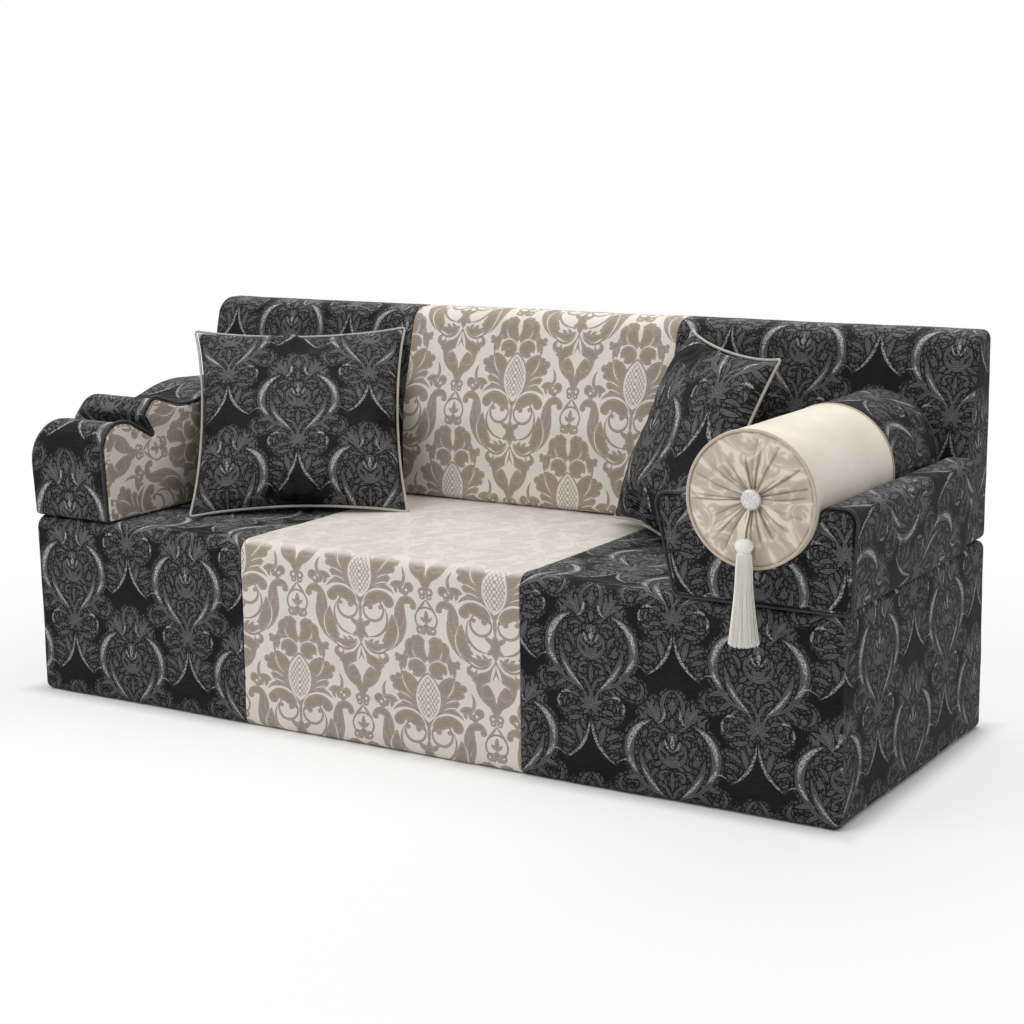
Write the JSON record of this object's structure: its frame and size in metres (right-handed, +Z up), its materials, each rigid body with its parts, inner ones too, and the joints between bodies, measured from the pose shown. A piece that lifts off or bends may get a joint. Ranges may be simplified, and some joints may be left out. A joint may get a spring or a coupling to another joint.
{
  "type": "majlis floor sofa",
  "caption": "Low floor sofa of foam blocks in damask covers: seat, backrest, wavy arm, cradle arm with a tasselled bolster, and piped throw cushions.",
  "frame": {"origin": "centre of the seat block's underside, on the floor", "axes": "+X along the sofa to the right of a front view, +Y to the rear, +Z up"},
  "size_m": [1.9378, 0.8283, 0.8163],
  "materials": {
    "foam": "matte",
    "filling": "matte",
    "base_cloth": "matte",
    "dark_damask": "satin",
    "cream_damask": "satin",
    "cream_satin": "satin",
    "dark_piping": "satin",
    "cream_piping": "satin",
    "grey_piping": "satin",
    "button_cloth": "satin",
    "tassel_thread": "satin",
    "zip_tape": "matte",
    "zip_metal": "satin"
  },
  "bodies": {
    "seat": {"seat_base_foam": "foam", "seat_comfort_foam": "foam", "seat_base_cloth": "base_cloth", "seat_cover_left": "dark_damask", "seat_cover_centre": "cream_damask", "seat_cover_right": "dark_damask", "seat_zip": "zip_tape"},
    "seat_zip_slider": {"seat_zip_slider": "zip_metal"},
    "backrest": {"backrest_foam": "foam", "backrest_cover_left": "dark_damask", "backrest_cover_centre": "cream_damask", "backrest_cover_right": "dark_damask", "backrest_zip": "zip_tape"},
    "backrest_zip_slider": {"backrest_zip_slider": "zip_metal"},
    "left_arm": {"left_arm_foam": "foam", "left_arm_cover": "dark_damask", "left_arm_outer_panel": "dark_damask", "left_arm_inner_panel": "cream_damask", "left_arm_base_panel": "base_cloth", "left_arm_piping": "dark_piping", "left_arm_zip": "zip_tape"},
    "left_arm_zip_slider": {"left_arm_zip_slider": "zip_metal"},
    "right_arm": {"right_arm_foam": "foam", "right_arm_cover": "dark_damask", "right_arm_front_panel": "dark_damask", "right_arm_rear_panel": "dark_damask", "right_arm_base_panel": "base_cloth", "right_arm_piping": "dark_piping", "right_arm_zip": "zip_tape"},
    "right_arm_zip_slider": {"right_arm_zip_slider": "zip_metal"},
    "bolster": {"bolster_filling": "filling", "bolster_cover_cream": "cream_satin", "bolster_cover_black": "dark_damask", "bolster_front_end": "cream_damask", "bolster_rear_end": "dark_damask", "bolster_front_piping": "cream_piping", "bolster_joint_piping": "cream_piping", "bolster_rear_piping": "dark_piping", "bolster_front_button": "button_cloth", "bolster_rear_button": "dark_damask", "bolster_zip": "zip_tape"},
    "bolster_zip_slider": {"bolster_zip_slider": "zip_metal"},
    "left_cushion": {"left_cushion_filling": "filling", "left_cushion_cover_front": "dark_damask", "left_cushion_cover_back": "dark_damask", "left_cushion_piping": "grey_piping", "left_cushion_zip": "zip_tape"},
    "left_cushion_zip_slider": {"left_cushion_zip_slider": "zip_metal"},
    "right_cushion": {"right_cushion_filling": "filling", "right_cushion_cover_front": "dark_damask", "right_cushion_cover_back": "dark_damask", "right_cushion_piping": "grey_piping", "right_cushion_zip": "zip_tape"},
    "right_cushion_zip_slider": {"right_cushion_zip_slider": "zip_metal"},
    "tassel_cord": {"tassel_cord": "tassel_thread"},
    "tassel": {"tassel_head": "tassel_thread", "tassel_binding": "tassel_thread", "tassel_skirt": "tassel_thread"}
  },
  "joints": [
    {"name": "backrest_pull_off", "type": "slide", "parent": "seat", "child": "backrest", "axis": [0, 1, 0], "range_m": [0, 0.25]},
    {"name": "left_arm_pull_off", "type": "slide", "parent": "seat", "child": "left_arm", "axis": [-1, 0, 0], "range_m": [0, 0.25]},
    {"name": "right_arm_pull_off", "type": "slide", "parent": "seat", "child": "right_arm", "axis": [1, 0, 0], "range_m": [0, 0.25]},
    {"name": "bolster_pull_out", "type": "slide", "parent": "right_arm", "child": "bolster", "axis": [0, -1, 0], "range_m": [0, 0.3]},
    {"name": "tassel_swing", "type": "hinge", "parent": "bolster", "child": "tassel_cord", "pos_m": [0.792, -0.4125, 0.5695], "axis": [0, 1, 0], "range_deg": [-60, 60]},
    {"name": "tassel_lift", "type": "hinge", "parent": "tassel_cord", "child": "tassel", "pos_m": [0.792, -0.4303, 0.5255], "axis": [-1, 0, 0], "range_deg": [0, 70]},
    {"name": "left_cushion_lift", "type": "slide", "parent": "seat", "child": "left_cushion", "axis": [0, 0, 1], "range_m": [0, 0.25]},
    {"name": "right_cushion_lift", "type": "slide", "parent": "seat", "child": "right_cushion", "axis": [0, 0, 1], "range_m": [0, 0.25]},
    {"name": "seat_zip_run", "type": "slide", "parent": "seat", "child": "seat_zip_slider", "axis": [1, 0, 0], "range_m": [0, 1.2707]},
    {"name": "backrest_zip_run", "type": "slide", "parent": "backrest", "child": "backrest_zip_slider", "axis": [1, 0, 0], "range_m": [0, 1.2707]},
    {"name": "left_arm_zip_run", "type": "slide", "parent": "left_arm", "child": "left_arm_zip_slider", "axis": [0, 1, 0], "range_m": [0, 0.3707]},
    {"name": "right_arm_zip_run", "type": "slide", "parent": "right_arm", "child": "right_arm_zip_slider", "axis": [0, 1, 0], "range_m": [0, 0.3707]},
    {"name": "bolster_zip_run", "type": "slide", "parent": "bolster", "child": "bolster_zip_slider", "axis": [0, 1, 0], "range_m": [0, 0.2507]},
    {"name": "left_cushion_zip_run", "type": "slide", "parent": "left_cushion", "child": "left_cushion_zip_slider", "axis": [0.8231, 0.5678, 0], "range_m": [0, 0.1407]},
    {"name": "right_cushion_zip_run", "type": "slide", "parent": "right_cushion", "child": "right_cushion_zip_slider", "axis": [0.7542, -0.6561, -0.0288], "range_m": [0, 0.1407]}
  ]
}
